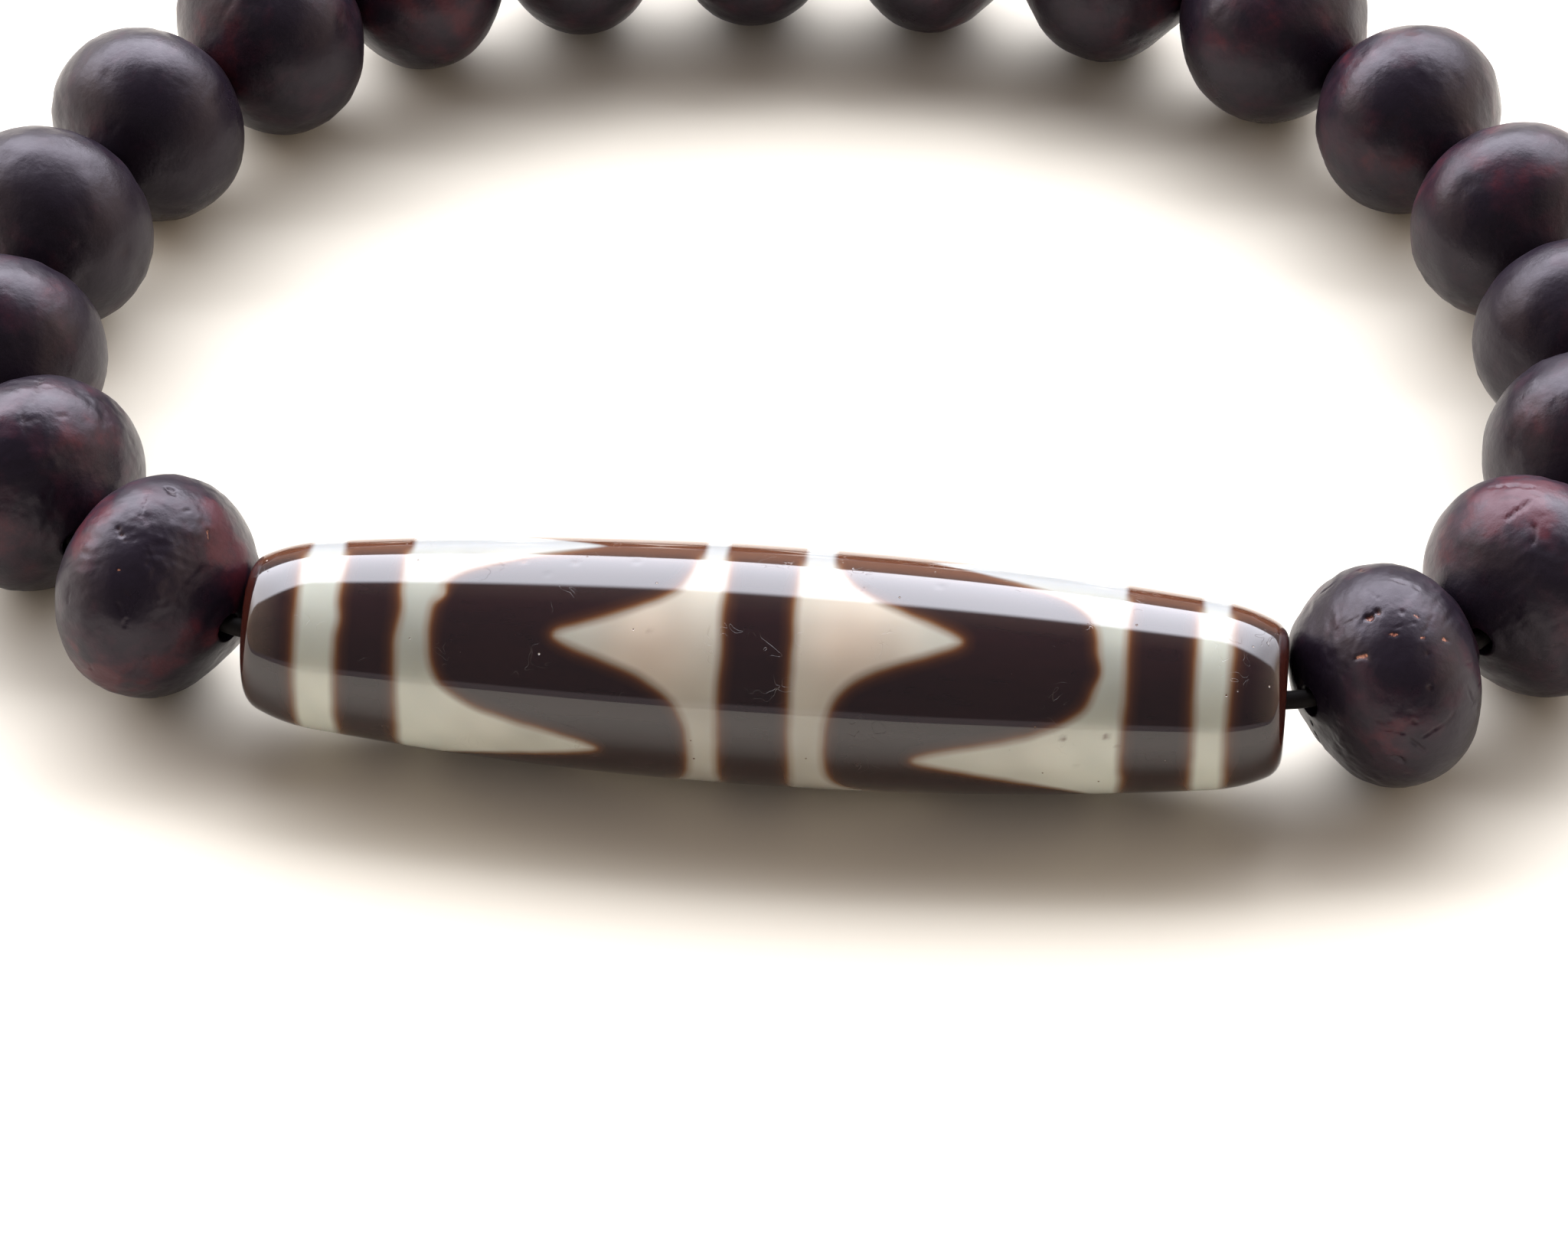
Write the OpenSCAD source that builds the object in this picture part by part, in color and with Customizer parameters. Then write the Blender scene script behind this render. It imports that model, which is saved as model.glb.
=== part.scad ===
// A bracelet of one long dzi bead and eighteen seed beads on an elastic thread.
// It lies on a table as a closed loop, and every bead stands on its own belly.
// Millimetres, +Z up. The dzi bead lies along X at the front of the loop, and the
// origin is on the table under the middle of the bracelet's box.

/* [Dzi bead] */
// Length of the dzi bead along its hole
dzi_length = 44.5; // [38:0.5:54]
// Diameter of the dzi bead at its middle
dzi_diameter = 10.3; // [9.5:0.1:12]
// Radius of the long arc that swells the barrel
dzi_barrel_radius = 170; // [150:1:260]
// Distance from each end over which a tighter arc draws the barrel in
dzi_shoulder_length = 3; // [2.4:0.1:3.6]
// Radius of that tighter arc
dzi_shoulder_radius = 7.3; // [7:0.1:12]
// Radius that rounds the rim of each end face
dzi_rim_radius = 1.1; // [0.6:0.1:1.4]
// Diameter of the hole through the dzi bead
dzi_bore = 2; // [1.6:0.1:2.4]

/* [Seed beads] */
// The seed beads from the dzi bead's +X end round to its -X end, anticlockwise seen
// from above: length along the hole, diameter, and the heading of the hole in degrees
seeds = [
    [7.7, 10.1,  29],
    [8.3, 10.4,  57],
    [8.2, 10.6,  86],
    [7.8,  9.8, 106],
    [8.0,  9.8, 119],
    [8.4,  9.3, 130],
    [8.7,  9.8, 145],
    [8.6, 10.1, 163],
    [8.5, 10.0, 178],
    [8.4, 10.1, 185],
    [7.9, 10.0, 195],
    [7.9,  9.9, 213],
    [7.9, 10.0, 230],
    [8.0,  9.7, 240],
    [8.3, 10.1, 253],
    [8.3, 10.0, 277],
    [8.4, 10.3, 305],
    [8.2, 10.3, 330],
]; // lengths 7.5 to 9, diameters 9.2 to 10.6, headings rising from 10 to 350
// Radius of a seed bead's outline at its belly
seed_belly_radius = 3.6; // [3.2:0.1:3.7]
// Diameter of the hole through a seed bead
seed_bore = 1.8; // [1.5:0.1:2.2]

/* [Stringing] */
// Room left between neighbouring beads before the loop is closed
bead_gap = 0.18; // [0.17:0.01:0.3]
// Extra room at each end of the dzi bead, whose flat end its slanting neighbour nears
dzi_end_room = 0.35; // [0.35:0.05:0.8]
// Width of the bevel round each hole's mouth
mouth_bevel = 0.3; // [0.1:0.05:0.4]
// Diameter of the elastic thread
thread_diameter = 0.8; // [0.6:0.1:1]

/* [Hidden] */
// Columns of the table of beads
LENGTH = 0;
DIAMETER = 1;
HEADING = 2;
beads = concat([[dzi_length, dzi_diameter, 0]], seeds);
count = len(beads);
thread_sides = 8;
cut_margin = 1;
$fn = 96;

// Bead numbers run round the loop: 0 is the dzi bead, and 1 follows its +X end
function after(i) = (i + 1) % count;
function before(i) = (i + count - 1) % count;
function add_up(v, i = 0) = i == len(v) - 1 ? v[i] : v[i] + add_up(v, i + 1);
function unit(v) = v / norm(v);

// Radius of the arc that closes a seed bead's outline at each hole. It touches the
// belly's arc from outside, so the four arcs meet with no corner.
function seed_end_radius(length, diameter) =
    let (half = length / 2, inset = diameter / 2 - seed_belly_radius)
    (inset ^ 2 + half ^ 2 - seed_belly_radius ^ 2) / (2 * (half - seed_belly_radius));

// Bend of the string between bead i and the next one
function bend(i) = (beads[after(i)][HEADING] - beads[i][HEADING] + 360) % 360;

// Two beads that turn away from each other touch beside their holes, so the room
// between the holes themselves grows with the bend and with the roundness of the ends
function end_radius(i) = i == 0 ? 0 : seed_end_radius(beads[i][LENGTH], beads[i][DIAMETER]);
function half_gap(i) =
    let (roundness = max(end_radius(i), end_radius(after(i))))
    bead_gap / 2 + roundness * (1 / cos(bend(i) / 2) - 1);

// String between the middle of bead i and the bend at its near or far end
function end_room(i) = beads[i][LENGTH] / 2 + (i == 0 ? dzi_end_room : 0);
function near_part(i) = half_gap(before(i)) + end_room(i);
function link_length(i) = near_part(i) + end_room(i) + half_gap(i);
function link(i) = link_length(i) * [cos(beads[i][HEADING]), sin(beads[i][HEADING])];

// The links as tabled nearly close into a loop. The seed beads share what is missing,
// each by its length, and the dzi bead stays along X.
links = [for (i = [0:count - 1]) link(i)];
string_length = add_up([for (l = links) norm(l)]);
missing = -add_up(links);
closed = [for (i = [0:count - 1])
    i == 0 ? links[0] : links[i] + missing * norm(links[i]) / (string_length - norm(links[0]))];

// Bends of the string: bend i lies before bead i, and the dzi bead is centred on x = 0
bends = [for (i = 0, p = -closed[0] / 2; i < count; p = p + closed[i], i = i + 1) p];
centres = [for (i = [0:count - 1])
    bends[i] + unit(closed[i]) * near_part(i)];

// How far bead i reaches from its centre in a level direction at an angle to its hole
function reach(i, angle) =
    let (c = abs(cos(angle)), s = abs(sin(angle)), r = beads[i][DIAMETER] / 2)
    let (half = beads[i][LENGTH] / 2, e = end_radius(i), inset = r - seed_belly_radius)
    i == 0 ? c * half + s * r :
    s * (e - half) < c * inset ? (half - e) * c + e : inset * s + seed_belly_radius;
function heading(i) = atan2(closed[i][1], closed[i][0]);
sides = [for (axis = [0, 1]) let (reaches = [for (i = [0:count - 1]) reach(i, heading(i) - 90 * axis)])
    [for (sign = [-1, 1]) max([for (i = [0:count - 1]) sign * centres[i][axis] + reaches[i]]) * sign]];
middle = [for (axis = [0, 1]) (sides[axis][0] + sides[axis][1]) / 2];

// Puts a shape that is drawn round Z on the string as bead i, resting on the table
module on_string(i) {
    translate([centres[i][0] - middle[0], centres[i][1] - middle[1], beads[i][DIAMETER] / 2])
        rotate([0, 0, heading(i)])
            rotate([0, 90, 0])
                children();
}

// Half section of a hole with a bevelled mouth at each end of a bead
module bore_section(length, diameter) {
    r = diameter / 2;
    translate([0, -length / 2 - cut_margin])
        square([r, length + 2 * cut_margin]);
    for (end = [0, 1])
        mirror([0, end])
            polygon([
                [0, length / 2 - mouth_bevel],
                [r, length / 2 - mouth_bevel],
                [r + mouth_bevel + cut_margin, length / 2 + cut_margin],
                [0, length / 2 + cut_margin],
            ]);
}

// Half section of the dzi bead: a long barrel arc, a tighter arc towards each end,
// and a small one round the rim, each touching the next
module dzi_section() {
    half = dzi_length / 2;
    shoulder = half - dzi_shoulder_length;
    barrel_x = dzi_diameter / 2 - dzi_barrel_radius;
    from_barrel = unit([sqrt(dzi_barrel_radius ^ 2 - shoulder ^ 2), shoulder])
        * (dzi_barrel_radius - dzi_shoulder_radius);
    shoulder_x = barrel_x + from_barrel[0];
    shoulder_y = from_barrel[1];
    rim_y = half - dzi_rim_radius;
    rim_x = shoulder_x
        + sqrt((dzi_shoulder_radius - dzi_rim_radius) ^ 2 - (rim_y - shoulder_y) ^ 2);
    rim_start = shoulder_y
        + (rim_y - shoulder_y) * dzi_shoulder_radius / (dzi_shoulder_radius - dzi_rim_radius);
    intersection() {
        translate([barrel_x, 0])
            circle(r = dzi_barrel_radius, $fn = 720);
        translate([0, -shoulder])
            square([dzi_diameter, 2 * shoulder]);
    }
    for (end = [0, 1])
        mirror([0, end]) {
            intersection() {
                translate([shoulder_x, shoulder_y])
                    circle(r = dzi_shoulder_radius, $fn = 360);
                square([dzi_diameter, rim_start]);
            }
            translate([rim_x, rim_y])
                circle(r = dzi_rim_radius);
            square([rim_x, half]);
        }
}

// Half section of a seed bead: an oval of a belly arc and an arc at each end
module seed_section(length, diameter) {
    end_r = seed_end_radius(length, diameter);
    half = length / 2;
    belly_x = diameter / 2 - seed_belly_radius;
    from_end = unit([belly_x, end_r - half]) * end_r;
    touch = [from_end[0], from_end[1] - (end_r - half)];
    intersection() {
        translate([belly_x, 0])
            circle(r = seed_belly_radius);
        translate([0, -touch[1]])
            square([diameter, 2 * touch[1]]);
    }
    for (end = [0, 1])
        mirror([0, end])
            intersection() {
                translate([0, half - end_r])
                    circle(r = end_r);
                square([touch[0], length]);
            }
}

// Polished agate with a brown and white resist pattern
module dzi_bead() {
    color("#3a211b")
        on_string(0)
            rotate_extrude()
                difference() {
                    dzi_section();
                    bore_section(dzi_length, dzi_bore);
                }
}

// Dark seed bead number i
module seed_bead(i) {
    color("#2e1c22")
        on_string(i)
            rotate_extrude()
                difference() {
                    seed_section(beads[i][LENGTH], beads[i][DIAMETER]);
                    bore_section(beads[i][LENGTH], seed_bore);
                }
}

// Thread through all the holes: a tube with one mitred ring at every bend
module elastic_thread() {
    function ring(i) =
        let (into = unit(closed[before(i)]), out = unit(closed[i]))
        let (along = unit(into + out), widening = 1 / (along * out))
        let (across = [along[1], -along[0]] * widening)
        let (height = (beads[before(i)][DIAMETER] + beads[i][DIAMETER]) / 4)
        [for (s = [0:thread_sides - 1])
            let (a = 360 * (s + 0.5) / thread_sides, r = thread_diameter / 2)
            let (p = bends[i] - middle + r * cos(a) * across)
            [p[0], p[1], height + r * sin(a)]];
    function corner(i, s) = (i % count) * thread_sides + s % thread_sides;
    color("#241813")
        polyhedron(
            points = [for (i = [0:count - 1]) each ring(i)],
            faces = [for (i = [0:count - 1], s = [0:thread_sides - 1]) each [
                [corner(i, s), corner(i, s + 1), corner(i + 1, s + 1)],
                [corner(i, s), corner(i + 1, s + 1), corner(i + 1, s)],
            ]]
        );
}

dzi_bead();
for (i = [1:count - 1]) seed_bead(i);
elastic_thread();
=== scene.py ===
import math
import bpy
import numpy as np
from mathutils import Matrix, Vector


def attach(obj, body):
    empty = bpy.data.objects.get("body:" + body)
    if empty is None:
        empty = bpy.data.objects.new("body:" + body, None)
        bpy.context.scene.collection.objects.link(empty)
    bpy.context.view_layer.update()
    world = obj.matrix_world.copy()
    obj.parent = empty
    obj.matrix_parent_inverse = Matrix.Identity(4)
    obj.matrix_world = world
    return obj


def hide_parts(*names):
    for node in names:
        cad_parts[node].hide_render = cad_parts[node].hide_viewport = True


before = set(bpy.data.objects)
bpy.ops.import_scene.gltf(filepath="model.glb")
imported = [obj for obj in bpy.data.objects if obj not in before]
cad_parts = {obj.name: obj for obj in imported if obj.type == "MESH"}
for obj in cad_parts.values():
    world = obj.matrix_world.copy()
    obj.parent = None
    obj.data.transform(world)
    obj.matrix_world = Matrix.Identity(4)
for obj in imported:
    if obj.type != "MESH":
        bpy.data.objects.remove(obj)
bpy.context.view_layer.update()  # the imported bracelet: nineteen beads and their thread, in metres
mm = 0.001
print("frame: %d nodes" % len(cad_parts))


# Small helpers for colours, nodes and meshes

def linearColour(hexText):
    # sRGB to linear: c / 12.92 below 0.04045, else ((c + 0.055) / 1.055) to the power 2.4
    channels = [int(hexText[i:i + 2], 16) / 255 for i in (1, 3, 5)]
    return tuple(c / 12.92 if c <= 0.04045 else ((c + 0.055) / 1.055) ** 2.4 for c in channels) + (1.0,)


def addNode(tree, kind, settings=None, links=None):
    # settings: a property or an input socket, by name or number; links: input socket to an output socket
    node = tree.nodes.new(kind)
    for key, value in (settings or {}).items():
        if isinstance(key, str) and hasattr(node, key):
            setattr(node, key, value)
        else:
            node.inputs[key].default_value = value
    for key, source in (links or {}).items():
        tree.links.new(source, node.inputs[key])
    return node


def setRamp(node, stops):
    # stops: (position, colour) pairs, from left to right
    ramp = node.color_ramp
    while len(ramp.elements) < len(stops):
        ramp.elements.new(1.0)
    for element, (position, colour) in zip(ramp.elements, stops):
        element.position = position
        element.color = colour
    return node


def newMaterial(name):
    material = bpy.data.materials.new(name)
    material.use_nodes = True
    material.node_tree.nodes.clear()
    return material


def meshFromGrid(name, grid, attributes, material):
    # grid: rows x columns x 3 points in metres, closed both ways. Each face joins a point to the next
    # row and column. Where six times the volume, the sum of a . (b x c + c x d) over the faces, comes
    # out negative, the faces are turned round.
    rows, columns = grid.shape[:2]
    index = np.arange(rows * columns).reshape(rows, columns)
    nextRow, nextColumn = np.roll(index, -1, 0), np.roll(index, -1, 1)
    corner = np.roll(nextRow, -1, 1)
    faces = np.stack([index, nextRow, corner, nextColumn], -1).reshape(-1, 4)
    points = grid.reshape(-1, 3)
    middle = points.mean(0)
    a, b, c, d = (points[faces[:, k]] - middle for k in range(4))
    volume = (a * (np.cross(b, c) + np.cross(c, d))).sum()
    if volume < 0:
        faces = faces[:, ::-1]
    mesh = bpy.data.meshes.new(name)
    mesh.vertices.add(len(points))
    mesh.vertices.foreach_set("co", points.astype(np.float32).ravel())
    mesh.loops.add(faces.size)
    mesh.loops.foreach_set("vertex_index", faces.astype(np.int32).ravel())
    mesh.polygons.add(len(faces))
    mesh.polygons.foreach_set("loop_start", np.arange(0, faces.size, 4, dtype=np.int32))
    mesh.polygons.foreach_set("use_smooth", np.ones(len(faces), bool))
    mesh.update(calc_edges=True)
    for key, values in attributes.items():
        layer = mesh.attributes.new(key, "FLOAT", "POINT")
        layer.data.foreach_set("value", values.astype(np.float32).ravel())
    mesh.materials.append(material)
    piece = bpy.data.objects.new(name, mesh)
    bpy.context.scene.collection.objects.link(piece)
    return piece


def waves(points, wavelength, seed, count=48):
    # Smooth noise of about -1 to 1: the sum of plane waves cos(k . p + phase) with k of length
    # about 2 pi / wavelength in random directions, over 1.8 times its usual size
    random = np.random.default_rng(seed)
    direction = random.normal(size=(3, count))
    direction /= np.linalg.norm(direction, axis=0)
    k = direction * 2 * math.pi / wavelength * random.uniform(0.6, 1.4, count)
    phase = random.uniform(0, 2 * math.pi, count)
    flat = points.reshape(-1, 3)
    total = np.cos(flat @ k + phase).sum(1) * math.sqrt(2 / count) / 1.8
    return np.clip(total, -1.2, 1.2).reshape(points.shape[:-1])


def smoothStep(low, high, x):
    # 0 at low, 1 at high and 3 t^2 - 2 t^3 between them; low may be the greater one
    t = np.clip((x - low) / (high - low), 0, 1)
    return t * t * (3 - 2 * t)


def wrapDegrees(angle, period=360.0):
    return (angle + period / 2) % period - period / 2


def lineDistance(points, line):
    # Distance from each 2-D point to a chain of short segments: the least over the segments of
    # |point - start - t span|, with t held between 0 and 1
    start, span = line[:-1], line[1:] - line[:-1]
    square = np.maximum((span ** 2).sum(1), 1e-12)
    distance = np.empty(len(points))
    for part in np.array_split(np.arange(len(points)), max(1, len(points) // 2000)):
        gapX = points[part, :1] - start[:, 0]
        gapY = points[part, 1:] - start[:, 1]
        t = np.clip((gapX * span[:, 0] + gapY * span[:, 1]) / square, 0, 1)
        distance[part] = np.sqrt(((gapX - t * span[:, 0]) ** 2 + (gapY - t * span[:, 1]) ** 2).min(1))
    return distance


# Where each bead lies, read off the frame: its middle, the direction of its hole, its length and diameter

def beadPlace(node):
    # The hole's direction is a main axis of the surface as seen from above: the longest one of the dzi
    # bead and the shortest one of a seed, which is wider than it is long
    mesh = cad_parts[node].data
    mesh.calc_loop_triangles()
    points = np.empty(len(mesh.vertices) * 3, np.float32)
    mesh.vertices.foreach_get("co", points)
    points = points.reshape(-1, 3).astype(float) / mm
    triangles = np.empty(len(mesh.loop_triangles) * 3, np.int32)
    mesh.loop_triangles.foreach_get("vertices", triangles)
    corners = points[triangles.reshape(-1, 3)]
    area = np.linalg.norm(np.cross(corners[:, 1] - corners[:, 0], corners[:, 2] - corners[:, 0]), axis=1)
    low, high = points.min(0), points.max(0)
    centre = (low + high) / 2
    level = (corners.mean(1) - centre)[:, :2]
    spread, axes = np.linalg.eigh((level * area[:, None]).T @ level)
    along = axes[:, 1] if node == "dzi_bead" else axes[:, 0]
    if along @ [-centre[1], centre[0]] < 0:  # every hole is read anticlockwise round the loop
        along = -along
    along = np.array([along[0], along[1], 0.0])
    return {"centre": centre, "along": along, "inward": np.array([-along[1], along[0], 0.0]),
            "length": 2 * np.abs((points - centre) @ along).max(), "diameter": high[2] - low[2]}


seedNames = ["seed_bead_%02d" % i for i in range(1, 19)]
loopNames = ["dzi_bead"] + seedNames
places = {name: beadPlace(name) for name in loopNames}
print("places: %d beads read from the frame" % len(places))


# Surfaces of revolution with a hole, as a closed grid of profile row and angle

def arcChain(startRadius, arcs, step):
    # Arcs that each start in the direction where the last one ended. From the middle of the bead the
    # outline's normal leans from 0 degrees (straight out) to each arc's end angle a:
    # x = centreX + R sin a, r = centreR + R cos a
    x, r, lean = 0.0, startRadius, 0.0
    points = [np.array([[x, r]])]
    for radius, endLean in arcs:
        centreX, centreR = x - radius * math.sin(lean), r - radius * math.cos(lean)
        count = max(2, round(radius * (endLean - lean) / step))
        a = np.linspace(lean, endLean, count + 1)[1:]
        points.append(np.stack([centreX + radius * np.sin(a), centreR + radius * np.cos(a)], 1))
        (x, r), lean = points[-1][-1], endLean
    return np.concatenate(points)


def closedProfile(outer, holeRadius, bevel, step):
    # The outer half outline, the straight part of the end face down to the hole's bevel, the bevel and
    # the hole, then the same mirrored: a closed loop of (x, r)
    end = outer[-1, 0]
    faceCount = max(0, round((outer[-1, 1] - holeRadius - bevel) / step))
    face = np.stack([np.full(faceCount, end),
                     np.linspace(outer[-1, 1], holeRadius + bevel, faceCount + 1)[1:]], 1)
    holeCount = round(end / (4 * step))
    hole = np.stack([np.linspace(end - bevel, 0, holeCount + 1), np.full(holeCount + 1, holeRadius)], 1)
    half = np.concatenate([outer, face, hole])
    other = half[1:-1][::-1] * [-1, 1]
    return np.concatenate([half, other])


def turned(profile, columns, place, shift=None):
    # P(row, angle) = centre + x along + r (cos(angle) inward + sin(angle) up); 90 degrees is on top.
    # shift moves each point along the profile's outward normal, in mm.
    angle = np.arange(columns) * 2 * math.pi / columns
    x = np.repeat(profile[:, :1], columns, 1)
    r = np.repeat(profile[:, 1:], columns, 1)
    if shift is not None:
        tangent = np.roll(profile, -1, 0) - np.roll(profile, 1, 0)
        tangent /= np.linalg.norm(tangent, axis=1)[:, None]
        x = x - tangent[:, 1:] * shift
        r = r + tangent[:, :1] * shift
    up = np.array([0.0, 0.0, 1.0])
    ring = np.cos(angle)[:, None] * place["inward"] + np.sin(angle)[:, None] * up
    return (place["centre"] + x[..., None] * place["along"] + r[..., None] * ring[None]) * mm


# The dzi bead

dziShape = {
    "barrelRadius": 170.0,  # mm, the long arc
    "shoulderLength": 3.0,  # mm from each end where the tighter arc starts
    "shoulderRadius": 7.3,
    "rimRadius": 1.1,
    "holeRadius": 1.0,
    "bevel": 0.3,
    "unevenness": 0.012,    # mm that hand polishing left the barrel uneven
    "pitDepth": 0.05,       # mm
    "step": 0.155,          # mm between neighbouring points
    "columns": 214,
}
dziPattern = {
    "radius": 5.1,          # mm, at which an angle round the bead is taken as a distance
    "facing": 133.7,        # degrees round the bead of the line that faces the camera
    "capFrom": (-19.8, 19.9),  # mm from the bead's middle where the brown ends start
    "rings": [(-17.9, -15.4), (-1.5, 1.4), (15.5, 18.3)],  # mm from its middle: brown bands
    "repeat": 120.0,        # degrees from one tooth to the next
    "toothWidth": 16.8,     # degrees from a tooth's middle line to where it is 1/e of its height
    "toothPower": 1.54,
    "blunt": 1.3,           # degrees over which a tooth's tip is rounded
    "edges": {              # lobe and tip of each toothed edge in mm, and where the tip stands in degrees
        "leftOuter": {"lobe": -13.9, "tip": -6.7, "tipAt": -53.0},
        "leftInner": {"lobe": -2.85, "tip": -8.7, "tipAt": 8.0},
        "rightInner": {"lobe": 3.0, "tip": 8.6, "tipAt": 18.0},
        "rightOuter": {"lobe": 14.2, "tip": 6.7, "tipAt": -46.0},
    },
    "wobble": 0.045,        # mm that the hand-laid edges wander
    "chips": [              # mm along, degrees round from the facing line, mm wide, mm deep into the brown
        (-13.5, 27.0, 0.45, 0.35),
        (14.1, 8.0, 0.6, -0.25),
        (-18.0, 10.0, 0.7, 0.12),
        (-15.3, 18.0, 0.8, -0.15),
    ],
    "pits": [               # with dirt in them: mm along, degrees round from the facing line, mm across
        (13.0, -29.0, 0.16),
        (14.8, -27.0, 0.18),
        (15.3, -33.0, 0.10),
        (13.6, -47.0, 0.10),
        (-4.6, 12.0, 0.10),
        (-8.1, 50.0, 0.16),
        (-10.3, 50.0, 0.14),
        (-5.5, 52.0, 0.16),
        (-9.2, 41.0, 0.14),
        (4.2, 43.0, 0.14),
        (7.4, 50.0, 0.15),
    ],
    "blush": [              # warm spots in the two long teeth: mm along, degrees round, mm across
        (-4.6, 4.0, 2.1),
        (3.9, 12.0, 2.3),
    ],
    "blushSpread": 28.0,    # degrees
    "greener": [(6.0, 8.5), (11.0, 15.0)],  # mm from the middle over which the white turns to grey green
    "cloudsAndPaintedLight": [               # painted light and shade on the whites: the share they are lightened by (darkened where below 0), mm from the middle and degrees where it sets in
        (0.26, [(9.0, 14.0)], (-14.0, -28.0)),
        (-0.16, [(5.5, 3.5)], (-14.0, -28.0)),
        (-0.22, [(10.5, 13.0), (18.5, 15.5)], (-24.0, 0.0)),
    ],
    "clouds": 0.06,         # how much the white's thickness varies from place to place
    "paintedBacklitTop": [(50.0, 66.0), (108.0, 88.0)],  # degrees where the painted glow of light from behind, and the painted shade on the whites, set in and end
}


def dziProfile(place, step):
    s = dziShape
    half = place["length"] / 2
    lean1 = math.asin((half - s["shoulderLength"]) / s["barrelRadius"])
    reach = (s["barrelRadius"] - s["shoulderRadius"]) * math.sin(lean1)
    lean2 = math.asin((half - reach - s["rimRadius"]) / (s["shoulderRadius"] - s["rimRadius"]))
    arcs = [(s["barrelRadius"], lean1), (s["shoulderRadius"], lean2), (s["rimRadius"], math.pi / 2)]
    return closedProfile(arcChain(place["diameter"] / 2, arcs, step), s["holeRadius"], s["bevel"], step)


def toothedEdge(edge, turn):
    # u(turn) = lobe + (tip - lobe) exp(-(a / width) ^ power), repeated round the bead, where
    # a = sqrt((turn - tipAt) ^ 2 + blunt ^ 2) - blunt rounds the tip
    p = dziPattern
    away = np.sqrt(wrapDegrees(turn - edge["tipAt"], p["repeat"]) ** 2 + p["blunt"] ** 2) - p["blunt"]
    height = edge["tip"] - edge["lobe"]
    return edge["lobe"] + height * np.exp(-(away / p["toothWidth"]) ** p["toothPower"])


def edgeDistance(edge, along, turn, radius):
    # Signed distance in mm on the unrolled surface, positive beyond the edge. Points over 2 mm outside
    # the edge's own span are all taken as 2 mm away.
    period = dziPattern["repeat"]
    arc = np.linspace(-period, period, 801)
    line = np.stack([toothedEdge(edge, arc + edge["tipAt"]), np.radians(arc) * radius], 1)
    outside = np.maximum(min(edge["lobe"], edge["tip"]) - along, along - max(edge["lobe"], edge["tip"]))
    near = outside < 2.0
    away = np.radians(wrapDegrees(turn - edge["tipAt"], period)) * radius
    distance = np.full(along.shape, 2.0)
    distance[near] = np.minimum(lineDistance(np.stack([along[near], away[near]], 1), line), 2.0)
    return distance * np.sign(along - toothedEdge(edge, turn))


def dziBrownDepth(along, turn, spot):
    # How deep a point lies inside the brown, in mm: the most of its depths in the caps, the rings and
    # the two toothed bands; negative in the white. Smooth noise makes the edges wander.
    p = dziPattern
    radius = p["radius"]
    depth = np.maximum(p["capFrom"][0] - along, along - p["capFrom"][1])
    for low, high in p["rings"]:
        depth = np.maximum(depth, np.minimum(along - low, high - along))
    for left, right in (("leftOuter", "leftInner"), ("rightInner", "rightOuter")):
        past = edgeDistance(p["edges"][left], along, turn, radius)
        before = -edgeDistance(p["edges"][right], along, turn, radius)
        depth = np.maximum(depth, np.minimum(past, before))
    depth = depth + p["wobble"] * (waves(spot, 3.4, 11) + 0.4 * waves(spot, 1.2, 12))
    for x, angle, width, deep in p["chips"]:
        far = (along - x) ** 2 + (np.radians(wrapDegrees(turn - angle)) * radius) ** 2
        depth = depth - deep * np.exp(-far / width ** 2)
    return depth


def makeDzi(material):
    # The turned outline, less a smooth unevenness and a bell-shaped dip at each pit
    s = dziShape
    p = dziPattern
    place = places["dzi_bead"]
    profile = dziProfile(place, s["step"])
    columns = s["columns"]
    along = np.repeat(profile[:, :1], columns, 1)
    angle = np.degrees(np.arange(columns) * 2 * math.pi / columns)[None]
    turn = wrapDegrees(p["facing"] - angle) + 0 * along  # grows upward from the camera's side
    spot = turned(profile, columns, place) / mm - place["centre"]
    depth = dziBrownDepth(along, turn, spot)
    fromEnd = place["length"] / 2 - np.abs(along)
    uneven = s["unevenness"] * (0.5 + 0.5 * waves(spot, 7.0, 21)) * smoothStep(0.3, 2.5, fromEnd)
    pit = np.zeros(along.shape)
    for x, where, width in p["pits"]:
        far = (along - x) ** 2 + (np.radians(wrapDegrees(turn - where)) * p["radius"]) ** 2
        pit = np.maximum(pit, np.exp(-far / (width / 1.5) ** 2))  # about half deep at its rim
    uneven = uneven + s["pitDepth"] * pit
    grid = turned(profile, columns, place, -uneven * (profile[:, 1:] > 2))  # not in the hole

    # the whites: a warm blush in the long teeth, greyer green towards the ends
    out = np.abs(along)
    tint = -0.5 * sum(smoothStep(*span, out) for span in p["greener"])
    for x, where, width in p["blush"]:
        tint = tint + np.exp(-((along - x) / width) ** 2 - ((turn - where) / p["blushSpread"]) ** 2)
    # and their brightness: random clouds, painted light low down at the ends, painted shade above that and
    # beside the middle ring
    cloudsAndPaintedLight = p["clouds"] * waves(spot, 2.4, 31)
    for amount, spans, turns in p["cloudsAndPaintedLight"]:
        patch = amount * smoothStep(*turns, turn)
        for span in spans:
            patch = patch * smoothStep(*span, out)
        cloudsAndPaintedLight = cloudsAndPaintedLight + patch
    # painted light and shade along the top, as if lit from behind: a glow painted into the brown, a grey
    # shade painted on the whites
    paintedBacklitTop = smoothStep(*p["paintedBacklitTop"][0], turn) * smoothStep(*p["paintedBacklitTop"][1], turn)
    rim = smoothStep(0.6, 0.3, fromEnd)
    attributes = {"brown": depth, "rim": rim, "tint": tint, "pit": pit, "cloudsAndPaintedLight": cloudsAndPaintedLight, "paintedBacklitTop": paintedBacklitTop}
    piece = meshFromGrid("dzi_stone", grid, attributes, material)
    print("dzi: %d faces" % len(piece.data.polygons))
    return piece


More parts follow.
